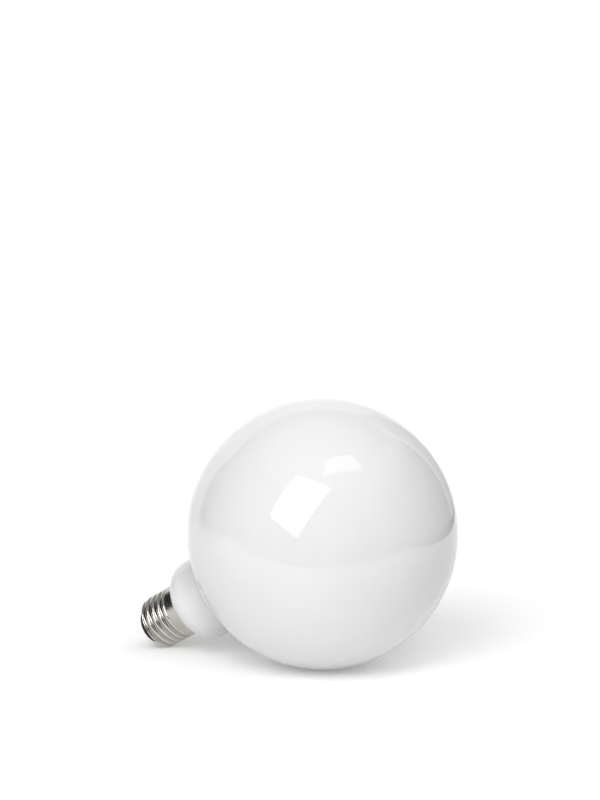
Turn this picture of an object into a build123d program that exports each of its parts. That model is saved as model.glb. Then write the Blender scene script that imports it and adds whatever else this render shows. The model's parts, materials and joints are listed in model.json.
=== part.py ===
from build123d import *
from math import asin, atan2, ceil, cos, degrees, hypot, sin, sqrt
import os

# A globe lamp with a screw cap, lying on its side as it comes to rest: the globe and the
# last turn of the cap's thread both touch the floor at z = 0. Every piece is drawn first
# along the lamp's own axis, with the globe's centre at the origin and +Z towards the cap,
# and is then laid down. All sizes are in millimetres.

# Glass
globe_diameter = 125.0
overall_length = 175.8
neck_diameter = 40.0
neck_fillet_radius = 2.5  # hollow round where the neck leaves the globe
shoulder_length = 10.2  # round from the neck down to the rim of the cap

# Screw shell: Edison thread E27, seven turns to the inch, rolled in thin sheet
cap_height = 27.8  # from the shell's rim to the face of the centre contact
shell_wall = 0.5
skirt_step = 0.08  # how far the plain band by the rim stands proud of the thread's crest
skirt_length = 5.0
skirt_taper = 1.2  # length over which the band falls to the thread's root
thread_minor_diameter = 24.1
thread_depth = 1.075  # from root to crest, so 26.25 over the crests
thread_pitch = 25.4 / 7
thread_crest_land = 0.9
thread_root_land = 0.9
last_crest_depth = 19.8  # from the rim to the last full crest, on the side that lies down
shell_length = 21.3
end_taper_length = 1.0  # the shell turns in over this length, past the last crest
end_face_width = 0.85  # of the shell's end, all round the insulator
end_trim_margin = 0.05  # keeps the surface that trims the thread's end off its crest
lip_thickness = 0.9  # of the turned-in end, behind which the insulator sits

# Insulator, contact and solder at the end of the cap
insulator_base_diameter = 20.0
insulator_tip_diameter = 12.0
insulator_flange_thickness = 1.5
contact_diameter = 10.0
contact_thickness = 1.0
contact_edge_chamfer = 0.4
eyelet_diameter = 3.6
eyelet_bore_diameter = 2.2
eyelet_depth = 3.0  # how far the contact's eyelet reaches into the insulator
solder_diameter = 5.0
solder_height = 0.9
solder_stem_depth = 1.6

# Fits
cement_gap = 0.1  # glass to skirt, filled with cement
seat_clearance = 0.05  # insulator in shell, eyelet in insulator, solder in eyelet

# Stations along the lamp's axis, measured from the globe's centre
globe_radius = globe_diameter / 2
tip_z = overall_length - globe_radius
contact_face_z = tip_z - solder_height
rim_z = contact_face_z - cap_height
shoulder_z = rim_z - shoulder_length
skirt_end_z = rim_z + skirt_length
taper_z = skirt_end_z - skirt_taper
seat_end_z = taper_z - shell_wall  # the glass reaches into the cap as far as this
last_crest_z = rim_z + last_crest_depth
shell_end_z = rim_z + shell_length
lip_z = shell_end_z - lip_thickness
insulator_tip_z = contact_face_z - contact_thickness

# Radii shared by the pieces that fit each other
neck_radius = neck_diameter / 2
thread_major_diameter = thread_minor_diameter + 2 * thread_depth
crest_radius = thread_major_diameter / 2
root_radius = thread_minor_diameter / 2
skirt_radius = crest_radius + skirt_step
skirt_bore_radius = skirt_radius - shell_wall
thread_bore_radius = root_radius - shell_wall
insulator_base_radius = insulator_base_diameter / 2
lip_bore_radius = insulator_base_radius + seat_clearance
eyelet_radius = eyelet_diameter / 2
eyelet_bore_radius = eyelet_bore_diameter / 2


def turn(*edges):
    """Revolve a closed half section, drawn as radius and height, about the lamp's axis."""
    return revolve(Plane.XZ * make_face(edges), Axis.Z)


def turn_points(*points):
    """Revolve a half section that has straight sides only."""
    return turn(Polyline(*points, close=True))


def make_glass_bulb():
    """Globe, neck and shoulder, blown as one piece, with the plain end that the cap takes."""
    fillet_z = sqrt((globe_radius + neck_fillet_radius) ** 2 - (neck_radius + neck_fillet_radius) ** 2)
    share = globe_radius / (globe_radius + neck_fillet_radius)
    globe_end = ((neck_radius + neck_fillet_radius) * share, fillet_z * share)
    neck_start = (neck_radius, fillet_z)
    seat_radius = skirt_bore_radius - cement_gap

    globe = ThreePointArc((0, -globe_radius), (globe_radius, 0), globe_end)
    fillet_arc = TangentArc(globe_end, neck_start, tangent=globe % 1)
    neck = Line(neck_start, (neck_radius, shoulder_z))
    shoulder = TangentArc((neck_radius, shoulder_z), (seat_radius, rim_z), tangent=(0, 1))
    seat = Polyline((seat_radius, rim_z), (seat_radius, seat_end_z), (0, seat_end_z), (0, -globe_radius))
    return turn(globe, fillet_arc, neck, shoulder, seat)


def make_thread_ridge():
    """One helical ridge that starts inside the skirt and runs out past the shell's end."""
    crest = thread_crest_land / 2
    root = (thread_pitch - thread_root_land) / 2
    flank_slope = (root - crest) / (crest_radius - root_radius)
    foot_radius = (root_radius + thread_bore_radius) / 2  # sunk halfway into the wall
    foot = crest + flank_slope * (crest_radius - foot_radius)
    section = Polyline(
        (foot_radius, 0, -foot),
        (crest_radius, 0, -crest),
        (crest_radius, 0, crest),
        (foot_radius, 0, foot),
        close=True,
    )
    # The helix starts at +X, buried in the skirt, and half a turn later it is on the side
    # that lies down.
    turns_to_last_crest = ceil((last_crest_z - taper_z + foot) / thread_pitch - 0.5) + 0.5
    start_z = last_crest_z - turns_to_last_crest * thread_pitch
    path = Helix(pitch=thread_pitch, height=(turns_to_last_crest + 1) * thread_pitch, radius=crest_radius)
    return Pos(0, 0, start_z) * sweep(make_face(section), path=path, is_frenet=True)


def make_screw_shell():
    """Thin shell: plain skirt, rolled thread, and an end turned in to hold the insulator."""
    trim_radius = crest_radius + end_trim_margin
    envelope = turn_points(
        (0, rim_z),
        (trim_radius, rim_z),
        (trim_radius, shell_end_z - end_taper_length),
        (lip_bore_radius + end_face_width, shell_end_z),
        (0, shell_end_z),
    )
    skirt = turn_points(
        (0, rim_z),
        (skirt_radius, rim_z),
        (skirt_radius, taper_z),
        (root_radius, skirt_end_z),
        (0, skirt_end_z),
    )
    core = turn_points((0, rim_z), (root_radius, rim_z), (root_radius, shell_end_z), (0, shell_end_z))
    inside = turn_points(
        (0, rim_z),
        (skirt_bore_radius, rim_z),
        (skirt_bore_radius, seat_end_z),
        (thread_bore_radius, seat_end_z),
        (thread_bore_radius, lip_z),
        (lip_bore_radius, lip_z),
        (lip_bore_radius, shell_end_z),
        (0, shell_end_z),
    )
    return ((core + make_thread_ridge()) & envelope) + skirt - inside


def make_cap_insulator():
    """Black glass cone, with a flange held inside the shell and a bore for the eyelet."""
    flange_radius = thread_bore_radius - seat_clearance
    flange_end_z = lip_z - seat_clearance
    flange_start_z = flange_end_z - insulator_flange_thickness
    bore_radius = eyelet_radius + seat_clearance
    return turn_points(
        (bore_radius, flange_start_z),
        (flange_radius, flange_start_z),
        (flange_radius, flange_end_z),
        (insulator_base_radius, flange_end_z),
        (insulator_base_radius, shell_end_z),
        (insulator_tip_diameter / 2, insulator_tip_z),
        (bore_radius, insulator_tip_z),
    )


def make_centre_contact():
    """Round plate on the insulator's tip, with a hollow eyelet that holds it in the bore."""
    plate_radius = contact_diameter / 2
    return turn_points(
        (eyelet_bore_radius, contact_face_z),
        (plate_radius - contact_edge_chamfer, contact_face_z),
        (plate_radius, contact_face_z - contact_edge_chamfer),
        (plate_radius, insulator_tip_z),
        (eyelet_radius, insulator_tip_z),
        (eyelet_radius, insulator_tip_z - eyelet_depth),
        (eyelet_bore_radius, insulator_tip_z - eyelet_depth),
    )


def make_contact_solder():
    """Domed drop that closes the eyelet, with the stem that ran down into it."""
    base_radius = solder_diameter / 2
    stem_radius = eyelet_bore_radius - seat_clearance
    dome_radius = (base_radius**2 + solder_height**2) / (2 * solder_height)
    half_angle = asin(base_radius / dome_radius) / 2
    dome_middle = (dome_radius * sin(half_angle), tip_z - dome_radius * (1 - cos(half_angle)))
    dome = ThreePointArc((0, tip_z), dome_middle, (base_radius, contact_face_z))
    outline = Polyline(
        (base_radius, contact_face_z),
        (stem_radius, contact_face_z),
        (stem_radius, contact_face_z - solder_stem_depth),
        (0, contact_face_z - solder_stem_depth),
        (0, tip_z),
    )
    return turn(dome, outline)


def rest_tilt():
    """Angle in degrees at which the globe and the last crest stand on one level floor."""
    touch_z = last_crest_z + thread_crest_land / 2
    reach = hypot(touch_z, crest_radius)
    return degrees(asin(globe_radius / reach) - atan2(crest_radius, touch_z))


pieces = {
    "glass_bulb": make_glass_bulb(),
    "screw_shell": make_screw_shell(),
    "cap_insulator": make_cap_insulator(),
    "centre_contact": make_centre_contact(),
    "contact_solder": make_contact_solder(),
}

# Lay the lamp down with its cap towards -X, then put the middle of its box over the origin.
lay_down = Pos(0, 0, globe_radius) * Rot(0, -(90 + rest_tilt()), 0)
laid = {name: lay_down * piece for name, piece in pieces.items()}
low_x = min(piece.bounding_box().min.X for piece in laid.values())
high_x = max(piece.bounding_box().max.X for piece in laid.values())

os.makedirs("parts", exist_ok=True)
for name, piece in laid.items():
    export_step(Pos(-(low_x + high_x) / 2, 0, 0) * piece, f"parts/{name}.step")
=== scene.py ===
import json
from math import asin, cos, degrees, hypot, pi, radians, sin, sqrt

import bpy
from mathutils import Matrix, Vector


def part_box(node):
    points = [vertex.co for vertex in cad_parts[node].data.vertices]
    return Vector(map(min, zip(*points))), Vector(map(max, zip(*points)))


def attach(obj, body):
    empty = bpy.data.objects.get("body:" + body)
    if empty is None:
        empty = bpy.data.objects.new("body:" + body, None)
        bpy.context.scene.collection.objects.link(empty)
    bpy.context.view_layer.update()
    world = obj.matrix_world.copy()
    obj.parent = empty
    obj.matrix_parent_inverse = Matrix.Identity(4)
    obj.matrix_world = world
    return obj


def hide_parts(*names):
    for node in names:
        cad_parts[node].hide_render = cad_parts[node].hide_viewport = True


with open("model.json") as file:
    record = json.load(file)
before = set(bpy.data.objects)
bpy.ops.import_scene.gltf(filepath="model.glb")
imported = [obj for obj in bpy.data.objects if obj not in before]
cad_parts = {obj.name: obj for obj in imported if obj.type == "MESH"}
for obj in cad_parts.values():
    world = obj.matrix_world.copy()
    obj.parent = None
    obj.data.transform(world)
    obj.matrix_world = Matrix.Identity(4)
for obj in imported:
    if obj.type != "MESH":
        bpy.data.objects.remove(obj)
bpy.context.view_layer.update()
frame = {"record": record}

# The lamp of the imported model, dressed for a studio picture. Every piece is drawn along the
# lamp's own axis, with the globe's centre at the origin and +Z towards the cap, and is then
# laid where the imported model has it. Sizes of the lamp are in millimetres.
MM = 0.001

# Glass
globe_radius = 62.5
neck_radius = 20.0
neck_fillet_radius = 2.5  # hollow round where the neck leaves the globe
shoulder_length = 10.2  # round from the neck down to the rim of the shell
rim_z = 84.6  # where the shell begins
seat_depth = 3.3  # how far the glass reaches into the shell
cement_gap = 0.1  # glass to shell

# Screw shell
shell_wall = 0.5
shell_length = 21.3
crest_radius = 13.125
root_radius = 12.05
thread_pitch = 25.4 / 7
last_crest_depth = 19.8  # from the rim, on the side that lies on the floor
skirt_step = 0.08  # how far the plain band by the rim stands proud of the thread's crest
skirt_length = 4.8
skirt_fall_length = 1.7  # over which the band falls to the thread
end_taper_length = 1.0  # over which the shell turns in
end_face_width = 0.85  # of the shell's end, all round the insulator
lip_thickness = 0.9  # of the turned-in end, behind which the insulator sits
edge_round_radius = 0.2  # at the shell's rim and at its lip
blend_width = 0.35  # softness where thread, skirt and turned-in end run into each other

# Insulator, contact and solder
seat_clearance = 0.05  # insulator in shell
insulator_flange_thickness = 1.5
insulator_base_radius = 10.0
insulator_tip_radius = 6.0
insulator_length = 5.5  # from the shell's end to the contact
insulator_bulge = 1.2  # how far the middle of its side stands out from a straight cone
contact_radius = 5.0
contact_thickness = 1.0
contact_edge_radius = 0.65
solder_radius = 2.5
solder_height = 0.9

# Radii and heights shared by the pieces that fit each other
skirt_radius = crest_radius + skirt_step
skirt_bore_radius = skirt_radius - shell_wall
seat_radius = skirt_bore_radius - cement_gap
thread_bore_radius = root_radius - shell_wall
lip_bore_radius = insulator_base_radius + seat_clearance
seat_end_z = rim_z + seat_depth
shell_end_z = rim_z + shell_length
lip_z = shell_end_z - lip_thickness
insulator_tip_z = shell_end_z + insulator_length
contact_face_z = insulator_tip_z + contact_thickness

# How fine the meshes are: steps round the axis, and along each curve
glass_segments = 256
globe_steps = 110
fillet_steps = 12
shoulder_steps = 24
shell_segments = 256
shell_rows = 240
rim_steps = 4
insulator_segments = 96
insulator_steps = 16
contact_segments = 96
contact_edge_steps = 6
solder_segments = 64
solder_steps = 12
paper_bend_steps = 24


# Placing
globe_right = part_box("glass_bulb")[1].x
globe_centre = Vector((globe_right - globe_radius * MM, 0.0, globe_radius * MM))
thread_mount = next(m for m in frame["record"]["mounts"] if m["name"] == "e27_thread")
lamp_axis = Vector(thread_mount["axis"]).normalized()
lamp_side = Vector((0.0, 1.0, 0.0))
lamp_top = lamp_side.cross(lamp_axis)
lamp_turn = Matrix((lamp_top, lamp_side, lamp_axis)).transposed().to_4x4()
laid_down = Matrix.Translation(globe_centre) @ lamp_turn


# Meshes
def arc(centre, radius, start, end, steps):
    """Points (radius, z) on an arc about a centre; angles from the +radius direction towards +z."""
    angles = [start + (end - start) * k / steps for k in range(steps + 1)]
    return [(centre[0] + radius * cos(a), centre[1] + radius * sin(a)) for a in angles]


def ring(radius_at, z, segments):
    """Points once round the axis at one height, with a radius for each angle."""
    points = []
    for k in range(segments):
        angle = 2 * pi * k / segments
        radius = radius_at(angle)
        points.append((radius * cos(angle), radius * sin(angle), z))
    return points


def ring_faces(rows, segments, closed=False):
    """Quads between rows of points that go round the axis."""
    faces = []
    for row in range(rows if closed else rows - 1):
        low = row * segments
        high = (row + 1) % rows * segments
        for k in range(segments):
            after = (k + 1) % segments
            faces.append((low + k, low + after, high + after, high + k))
    return faces


def lay_piece(name, points, faces, node, material):
    """Make a smooth mesh from points in millimetres, lay it in the frame and dress it."""
    mesh = bpy.data.meshes.new(name)
    mesh.from_pydata([laid_down @ (Vector(p) * MM) for p in points], [], faces)
    mesh.shade_smooth()
    mesh.materials.append(material)
    piece = bpy.data.objects.new(name, mesh)
    bpy.context.scene.collection.objects.link(piece)
    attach(piece, "root")
    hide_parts(node)


def turned_piece(name, profile, segments, node, material):
    """A solid of revolution from a half section that starts and ends on the axis."""
    inner = profile[1:-1]
    points = []
    for radius, z in inner:
        points += ring(lambda angle: radius, z, segments)
    faces = ring_faces(len(inner), segments)
    first = len(points)
    last = first + 1
    points += [(0.0, 0.0, profile[0][1]), (0.0, 0.0, profile[-1][1])]
    top = (len(inner) - 1) * segments
    for k in range(segments):
        after = (k + 1) % segments
        faces.append((first, after, k))
        faces.append((last, top + k, top + after))
    lay_piece(name, points, faces, node, material)


# Materials
noise_low = 0.3  # most values of a noise texture lie between these two
noise_high = 0.7


class Nodes:
    """A material's node tree, with short calls to add and link its nodes."""

    def __init__(self, name):
        self.material = bpy.data.materials.new(name)
        self.material.use_nodes = True
        self.tree = self.material.node_tree
        self.shader = self.tree.nodes["Principled BSDF"]
        self.frame_place = self.new("TexCoord").outputs["Object"]
        along_lamp = self.new("Mapping")
        along_lamp.inputs["Location"].default_value = laid_down.inverted().translation
        along_lamp.inputs["Rotation"].default_value = laid_down.inverted().to_euler()
        self.link(self.frame_place, along_lamp.inputs["Vector"])
        self.lamp_place = along_lamp.outputs["Vector"]

    def new(self, kind):
        return self.tree.nodes.new("ShaderNode" + kind)

    def link(self, source, target):
        self.tree.links.new(source, target)

    def feed(self, socket, source):
        """Let a socket of the shader follow a node."""
        self.link(source, self.shader.inputs[socket])

    def set(self, socket, value):
        """Give a socket of the shader one value everywhere."""
        self.shader.inputs[socket].default_value = value

    def scaled(self, scale):
        """The place along the lamp, stretched."""
        node = self.new("Mapping")
        node.inputs["Scale"].default_value = scale
        self.link(self.lamp_place, node.inputs["Vector"])
        return node.outputs["Vector"]

    def from_axis(self):
        """Distance from the lamp's axis."""
        node = self.new("VectorMath")
        node.operation = "LENGTH"
        self.link(self.scaled((1.0, 1.0, 0.0)), node.inputs["Vector"])
        return node.outputs["Value"]

    def along_axis(self):
        """Height along the lamp's axis."""
        node = self.new("SeparateXYZ")
        self.link(self.lamp_place, node.inputs["Vector"])
        return node.outputs["Z"]

    def distance_from(self, point):
        """Distance from a point of the frame."""
        node = self.new("VectorMath")
        node.operation = "DISTANCE"
        self.link(self.frame_place, node.inputs[0])
        node.inputs[1].default_value = point
        return node.outputs["Value"]

    def noise(self, scale, detail, vector=None):
        node = self.new("TexNoise")
        node.inputs["Scale"].default_value = scale
        node.inputs["Detail"].default_value = detail
        self.link(vector or self.lamp_place, node.inputs["Vector"])
        return node.outputs["Fac"]

    def math(self, operation, first, second, clamp=False):
        node = self.new("Math")
        node.operation = operation
        node.use_clamp = clamp
        self.link(first, node.inputs[0])
        self.link(second, node.inputs[1])
        return node.outputs["Value"]

    def between(self, source, low, high, start=noise_low, end=noise_high):
        """A value that goes from low to high while the source goes from start to end."""
        node = self.new("MapRange")
        node.inputs["From Min"].default_value = start
        node.inputs["From Max"].default_value = end
        node.inputs["To Min"].default_value = low
        node.inputs["To Max"].default_value = high
        self.link(source, node.inputs["Value"])
        return node.outputs["Result"]

    def colours(self, noise, low, high):
        """A colour that goes from low to high with a noise."""
        node = self.new("ValToRGB")
        node.color_ramp.elements[0].position = noise_low
        node.color_ramp.elements[1].position = noise_high
        node.color_ramp.elements[0].color = (*low, 1.0)
        node.color_ramp.elements[1].color = (*high, 1.0)
        self.link(noise, node.inputs["Fac"])
        return node.outputs["Color"]

    def greys(self, source, stops):
        """A grey that follows straight lines between stops, which are pairs of value and grey."""
        values, greys = zip(*stops)
        start = values[0]
        end = values[-1]
        node = self.new("ValToRGB")
        elements = node.color_ramp.elements
        for value in values[1:-1]:
            elements.new((value - start) / (end - start))
        for element, grey in zip(elements, greys):
            element.color = (grey, grey, grey, 1.0)
        self.link(self.between(source, 0.0, 1.0, start, end), node.inputs["Fac"])
        return node.outputs["Color"]

    def darkened(self, colour, grey):
        """A colour times a grey."""
        node = self.new("Mix")
        node.data_type = "RGBA"
        node.blend_type = "MULTIPLY"
        node.inputs["Factor"].default_value = 1.0
        self.link(colour, node.inputs["A"])
        self.link(grey, node.inputs["B"])
        return node.outputs["Result"]

    def bump(self, source, distance, strength):
        """Fine relief on the whole surface."""
        node = self.new("Bump")
        node.inputs["Distance"].default_value = distance
        node.inputs["Strength"].default_value = strength
        self.link(source, node.inputs["Height"])
        self.feed("Normal", node.outputs["Normal"])


def make_opal_glass():
    """White coated glass: milky body, clear gloss, faint clouding, and painted shade in the crease where the
    neck leaves the globe.
    """
    nodes = Nodes("opal_glass")
    clouding = nodes.noise(scale=28.0, detail=3.0)
    white = nodes.colours(clouding, low=(0.845, 0.845, 0.84), high=(0.87, 0.87, 0.868))
    # painted shade: the glass greys towards the crease where the neck leaves the globe, and lightens again
    # up the neck
    crease_shade_greys = [(57.0, 1.0), (59.0, 0.68), (61.0, 0.72), (64.0, 0.83), (74.0, 0.97)]  # by height
    painted_crease_shade = nodes.greys(nodes.along_axis(), [(height * MM, grey) for height, grey in crease_shade_greys])
    nodes.feed("Base Color", nodes.darkened(white, painted_crease_shade))
    handling = nodes.noise(scale=90.0, detail=4.0)
    nodes.feed("Roughness", nodes.between(handling, low=0.01, high=0.03))
    nodes.bump(nodes.noise(scale=16.0, detail=1.0), distance=0.0001, strength=0.03)
    nodes.set("IOR", 1.44)
    return nodes.material


def make_nickel():
    """Bright plated sheet: marks from rolling round the axis, painted shade in the grooves, and a duller,
    slightly darker plain band.
    """
    nodes = Nodes("nickel_plate")
    nodes.set("Metallic", 1.0)
    tarnish = nodes.noise(scale=140.0, detail=4.0)
    plating = nodes.colours(tarnish, low=(0.55, 0.53, 0.485), high=(0.64, 0.62, 0.575))
    # painted shade: the plating greys down into the thread's roots; the plain band is also a little darker
    # than the crests
    groove_shade_greys = [(root_radius * MM, 0.62), (crest_radius * MM, 1.0), (skirt_radius * MM, 0.86)]
    painted_groove_shade = nodes.greys(nodes.from_axis(), groove_shade_greys)
    nodes.feed("Base Color", nodes.darkened(plating, painted_groove_shade))
    mark_scale = (90.0, 90.0, 5200.0)  # far finer along the axis than round it
    marks = nodes.noise(scale=1.0, detail=5.0, vector=nodes.scaled(mark_scale))
    gloss = nodes.between(marks, low=0.08, high=0.16)
    band_dullness = nodes.between(
        nodes.from_axis(), low=0.0, high=0.12, start=crest_radius * MM, end=skirt_radius * MM
    )
    nodes.feed("Roughness", nodes.math("ADD", gloss, band_dullness))
    nodes.bump(marks, distance=0.00001, strength=0.1)
    return nodes.material


def make_black_glass():
    """Dull black insulating glass with slight unevenness from pressing."""
    nodes = Nodes("black_glass")
    mottling = nodes.noise(scale=260.0, detail=3.0)
    nodes.feed("Base Color", nodes.colours(mottling, low=(0.004, 0.004, 0.004), high=(0.008, 0.008, 0.008)))
    nodes.feed("Roughness", nodes.between(mottling, low=0.35, high=0.5))
    nodes.set("Specular IOR Level", 0.1)
    nodes.bump(nodes.noise(scale=420.0, detail=2.0), distance=0.0001, strength=0.2)
    return nodes.material


def make_contact_metal():
    """Plain plated brass with light scuffs."""
    nodes = Nodes("contact_metal")
    nodes.set("Metallic", 1.0)
    scuffs = nodes.noise(scale=900.0, detail=5.0)
    nodes.feed("Base Color", nodes.colours(scuffs, low=(0.60, 0.56, 0.48), high=(0.74, 0.70, 0.62)))
    nodes.feed("Roughness", nodes.between(scuffs, low=0.22, high=0.42))
    nodes.bump(scuffs, distance=0.00004, strength=0.3)
    return nodes.material


def make_solder():
    """Dull soft solder with a cooled, slightly wrinkled skin."""
    nodes = Nodes("solder")
    nodes.set("Metallic", 1.0)
    skin = nodes.noise(scale=1300.0, detail=4.0)
    nodes.feed("Base Color", nodes.colours(skin, low=(0.50, 0.50, 0.51), high=(0.70, 0.70, 0.71)))
    nodes.feed("Roughness", nodes.between(skin, low=0.30, high=0.55))
    nodes.bump(skin, distance=0.00008, strength=0.5)
    return nodes.material


# Glass globe, neck and shoulder
fillet_centre = (
    neck_radius + neck_fillet_radius,
    sqrt((globe_radius + neck_fillet_radius) ** 2 - (neck_radius + neck_fillet_radius) ** 2),
)
fillet_angle = asin(fillet_centre[1] / (globe_radius + neck_fillet_radius))
shoulder_drop = neck_radius - seat_radius
shoulder_radius = (shoulder_drop**2 + shoulder_length**2) / (2 * shoulder_drop)
shoulder_angle = asin(shoulder_length / shoulder_radius)
shoulder_centre = (neck_radius - shoulder_radius, rim_z - shoulder_length)
glass_profile = arc((0.0, 0.0), globe_radius, -pi / 2, fillet_angle, globe_steps)
glass_profile += arc(fillet_centre, neck_fillet_radius, fillet_angle + pi, pi, fillet_steps)[1:]
glass_profile += arc(shoulder_centre, shoulder_radius, 0.0, shoulder_angle, shoulder_steps)
glass_profile += [(seat_radius, seat_end_z), (0.0, seat_end_z)]
turned_piece("opal_globe", glass_profile, glass_segments, "glass_bulb", make_opal_glass())


# Screw shell
skirt_fall_z = rim_z + skirt_length
last_crest_z = rim_z + last_crest_depth
end_taper_z = shell_end_z - end_taper_length
end_radius = lip_bore_radius + end_face_width
knuckle_height = crest_radius - root_radius
knuckle_radius = ((thread_pitch / 4) ** 2 + (knuckle_height / 2) ** 2) / knuckle_height


def thread_height(z, angle):
    """Outer radius of the rolled thread: round crests and round roots on a right-handed helix."""
    crest_z = last_crest_z + thread_pitch * (angle - pi) / (2 * pi)
    away = abs((z - crest_z + thread_pitch / 2) % thread_pitch - thread_pitch / 2)
    if away < thread_pitch / 4:
        return crest_radius - knuckle_radius + sqrt(knuckle_radius**2 - away**2)
    return root_radius + knuckle_radius - sqrt(knuckle_radius**2 - (thread_pitch / 2 - away) ** 2)


def crossing_round(a, b):
    """How far the crossing of two radii is rounded off."""
    overlap = max(blend_width - abs(a - b), 0.0) / blend_width
    return overlap**2 * blend_width / 4


def shell_radius(z, angle):
    """Outer radius of the shell: skirt, then thread, then the turned-in end."""
    share = min(max((z - skirt_fall_z) / skirt_fall_length, 0.0), 1.0)
    fall = share * share * (3 - 2 * share)
    radius = skirt_radius + (root_radius - blend_width - skirt_radius) * fall
    if fall > 0.0:
        thread = thread_height(z, angle)
        radius = min(max(radius, thread) + crossing_round(radius, thread), skirt_radius)
    turned_in = (z - end_taper_z) / end_taper_length
    end = crest_radius + (end_radius - crest_radius) * turned_in
    return min(radius, end) - crossing_round(radius, end)


def make_screw_shell():
    """Closed thin shell: rim, helical outside, turned-in lip and plain inside."""
    points = []

    def add_ring(radius_at, z):
        points.extend(ring(radius_at, z, shell_segments))

    rounded_z = rim_z + edge_round_radius
    rim_centre = (skirt_radius - edge_round_radius, rounded_z)
    rim = arc(rim_centre, edge_round_radius, -pi / 2, 0.0, rim_steps)
    for radius, z in [(skirt_bore_radius, rim_z)] + rim:
        add_ring(lambda angle: radius, z)
    for row in range(1, shell_rows + 1):
        z = rounded_z + (shell_end_z - rounded_z) * row / shell_rows
        add_ring(lambda angle: shell_radius(z, angle), z)
    inside = [
        (lip_bore_radius + edge_round_radius, shell_end_z),
        (lip_bore_radius, shell_end_z - edge_round_radius),
        (lip_bore_radius, lip_z),
        (thread_bore_radius, lip_z),
        (thread_bore_radius, seat_end_z),
        (skirt_bore_radius, seat_end_z),
    ]
    for radius, z in inside:
        add_ring(lambda angle: radius, z)
    faces = ring_faces(len(points) // shell_segments, shell_segments, closed=True)
    lay_piece("rolled_screw_shell", points, faces, "screw_shell", make_nickel())


make_screw_shell()


# Insulator
flange_radius = thread_bore_radius - seat_clearance
flange_end_z = lip_z - seat_clearance
flange_start_z = flange_end_z - insulator_flange_thickness
cone_fall = insulator_base_radius - insulator_tip_radius
cone_side = hypot(cone_fall, insulator_length)
insulator_profile = [
    (0.0, flange_start_z),
    (flange_radius, flange_start_z),
    (flange_radius, flange_end_z),
    (insulator_base_radius, flange_end_z),
]
for step in range(insulator_steps + 1):
    share = step / insulator_steps
    bulge = 4 * insulator_bulge * share * (1 - share)  # a parabola, highest halfway
    radius = insulator_base_radius - cone_fall * share + bulge * insulator_length / cone_side
    height = shell_end_z + insulator_length * share + bulge * cone_fall / cone_side
    insulator_profile.append((radius, height))
insulator_profile.append((0.0, insulator_tip_z))
turned_piece(
    "insulator_cone", insulator_profile, insulator_segments,
    "cap_insulator", make_black_glass(),
)


# Contact
contact_edge_centre = (contact_radius - contact_edge_radius, contact_face_z - contact_edge_radius)
contact_profile = [(0.0, insulator_tip_z), (contact_radius, insulator_tip_z)]
contact_profile += arc(contact_edge_centre, contact_edge_radius, 0.0, pi / 2, contact_edge_steps)
contact_profile += [(0.0, contact_face_z)]
turned_piece(
    "contact_plate", contact_profile, contact_segments,
    "centre_contact", make_contact_metal(),
)


# Solder
dome_radius = (solder_radius**2 + solder_height**2) / (2 * solder_height)
dome_angle = asin(solder_radius / dome_radius)
dome_centre = (0.0, contact_face_z + solder_height - dome_radius)
solder_profile = [(0.0, contact_face_z)]
solder_profile += arc(dome_centre, dome_radius, pi / 2 - dome_angle, pi / 2, solder_steps)
turned_piece("solder_drop", solder_profile, solder_segments, "contact_solder", make_solder())


# Camera: the place that shows the globe where the photograph has it
picture_width = 600
picture_height = 800
focal_pixels = 1900.0
globe_pixel_x = 322.6
globe_pixel_y = 533.3
globe_pixel_radius = 135.7
camera_pitch = radians(4.8)
camera_turn = radians(30.8)
sensor_size = 36.0  # along the picture's longer side, in millimetres

upward = Vector((0.0, 0.0, 1.0))
camera_right = Vector((cos(camera_turn), sin(camera_turn), 0.0))
away_from_camera = Vector((-sin(camera_turn), cos(camera_turn), 0.0))
camera_forward = away_from_camera * cos(camera_pitch) - upward * sin(camera_pitch)
camera_up = camera_right.cross(camera_forward)
sight = (
    camera_right * ((globe_pixel_x - picture_width / 2) / focal_pixels)
    - camera_up * ((globe_pixel_y - picture_height / 2) / focal_pixels)
    + camera_forward
)
globe_slope = globe_pixel_radius / (focal_pixels * sight.length)
globe_distance = globe_radius * MM * hypot(1.0, globe_slope) / globe_slope
camera_place = globe_centre - sight.normalized() * globe_distance
camera_data = bpy.data.cameras.new("camera")
camera_data.sensor_width = sensor_size
camera_data.lens = focal_pixels * sensor_size / picture_height
camera = bpy.data.objects.new("camera", camera_data)
bpy.context.scene.collection.objects.link(camera)
camera.matrix_world = (
    Matrix.Translation(camera_place)
    @ Matrix((camera_right, camera_up, -camera_forward)).transposed().to_4x4()
)
bpy.context.scene.camera = camera


# Floor: white paper that rises behind the lamp and keeps the lamp's shadow, with a painted glow that is
# weakest at the shadow's middle. Sizes are in metres, from the point under the globe's centre, as the camera
# sees them.
paper_left = -1.7
paper_right = 0.5
paper_front = -0.22
paper_back = 1.0
paper_bend_radius = 0.45
paper_height = 1.5
shadow_middle_side = -0.014
shadow_middle_depth = 0.067
painted_glow_greys = [(0.0, 0.0), (0.072, 0.257), (0.36, 0.57)]  # by distance from the shadow's middle


def floor_point(side, depth, height=0.0):
    """A point on or over the floor, by its place to the right of the globe and behind it."""
    under_globe = Vector((globe_centre.x, globe_centre.y, 0.0))
    return under_globe + camera_right * side + away_from_camera * depth + upward * height


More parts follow.
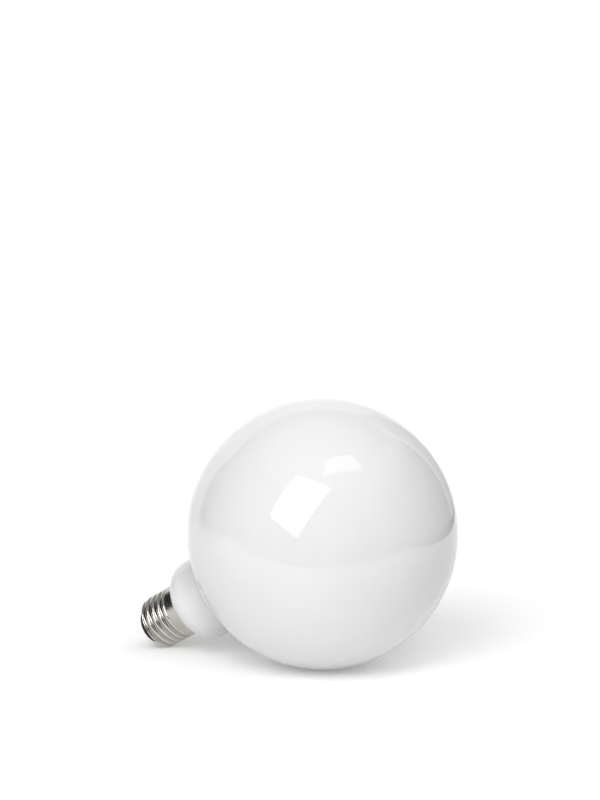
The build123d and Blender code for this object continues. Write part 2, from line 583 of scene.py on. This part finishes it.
def make_paper():
    """White paper that shows as white in the picture and in reflections by a painted glow; it keeps the
    lamp's shadow, and the glow is weakest at the shadow's middle, so that middle is partly painted shade.
    """
    nodes = Nodes("paper")
    grain = nodes.noise(scale=600.0, detail=3.0)
    nodes.feed("Base Color", nodes.colours(grain, low=(0.91, 0.91, 0.91), high=(0.93, 0.93, 0.93)))
    nodes.set("Roughness", 0.9)
    nodes.set("Specular IOR Level", 0.0)
    path = nodes.new("LightPath")
    seen = path.outputs["Is Camera Ray"]
    for kind in ("Is Glossy Ray", "Is Transmission Ray"):
        seen = nodes.math("ADD", seen, path.outputs[kind], clamp=True)
    # painted glow: the paper glows for the camera and in reflections, least at the shadow's middle, so part
    # of the shadow is painted
    painted_glow = nodes.greys(nodes.distance_from(floor_point(shadow_middle_side, shadow_middle_depth)), painted_glow_greys)
    nodes.set("Emission Color", (1.0, 1.0, 1.0, 1.0))
    nodes.feed("Emission Strength", nodes.math("MULTIPLY", seen, painted_glow))
    return nodes.material


bend_centre = (paper_back, paper_bend_radius)
paper_line = [(paper_front, 0.0)]
paper_line += arc(bend_centre, paper_bend_radius, -pi / 2, 0.0, paper_bend_steps)
paper_line += [(paper_back + paper_bend_radius, paper_height)]
paper_points = []
for depth, height in paper_line:
    paper_points.append(floor_point(paper_left, depth, height))
    paper_points.append(floor_point(paper_right, depth, height))
paper_faces = [(2 * k, 2 * k + 1, 2 * k + 3, 2 * k + 2) for k in range(len(paper_line) - 1)]
paper_mesh = bpy.data.meshes.new("paper")
paper_mesh.from_pydata(paper_points, [], paper_faces)
paper_mesh.shade_smooth()
paper_mesh.materials.append(make_paper())
paper = bpy.data.objects.new("paper", paper_mesh)
bpy.context.scene.collection.objects.link(paper)


# Light: a large softbox in front on the left, and weaker light from overhead, from the right, from
# behind and from the camera's side
room_grey = 0.035


def direction(turn, height):
    """Direction from the globe: turn to the right of the camera, height above the floor, in degrees."""
    level = camera_right * sin(radians(turn)) - away_from_camera * cos(radians(turn))
    return level * cos(radians(height)) + upward * sin(radians(height))


def softbox(name, turn, height, distance, size, radiance, back=None, roll=0.0, mirrored=True):
    """A rectangular lamp, placed by direction and distance from the globe. Its back looks in the
    direction given, or else straight away from the globe."""
    data = bpy.data.lights.new(name, "AREA")
    data.shape = "RECTANGLE"
    data.size, data.size_y = size
    data.energy = radiance * pi * data.size * data.size_y
    lamp = bpy.data.objects.new(name, data)
    bpy.context.scene.collection.objects.link(lamp)
    outward = direction(*(back or (turn, height)))
    lamp.matrix_world = (
        Matrix.Translation(globe_centre + direction(turn, height) * distance)
        @ outward.to_track_quat("Z", "Y").to_matrix().to_4x4()
        @ Matrix.Rotation(radians(roll), 4, "Z")
    )
    lamp.visible_camera = False
    lamp.visible_glossy = mirrored


softbox(
    "key_softbox", turn=-26.8, height=33.1, distance=1.4,
    size=(0.86, 1.1), radiance=4.4, back=(0.5, 17.7), roll=-34.2,
)
softbox(
    "top_softbox", turn=32.1, height=66.6, distance=1.4,
    size=(0.6, 0.66), radiance=2.5, back=(29.6, 7.1), roll=-7.8,
)
softbox(
    "ceiling", turn=90.0, height=84.4, distance=1.55,
    size=(2.9, 3.2), radiance=0.45, back=(0.0, 90.0), roll=degrees(camera_turn),
)
softbox(
    "right_wall", turn=90.0, height=31.7, distance=1.41,
    size=(3.2, 1.6), radiance=0.37, back=(90.0, 0.0),
)
softbox(
    "back_corner", turn=151.0, height=20.0, distance=2.0,
    size=(0.8, 1.7), radiance=0.65,
)
softbox(
    "front_fill", turn=0.0, height=20.0, distance=1.9,
    size=(1.4, 1.6), radiance=1.35, mirrored=False,
)

world = bpy.data.worlds.new("room")
world.use_nodes = True
world.node_tree.nodes["Background"].inputs["Color"].default_value = (room_grey, room_grey, room_grey, 1.0)
bpy.context.scene.world = world
bpy.context.scene.view_settings.view_transform = "Standard"
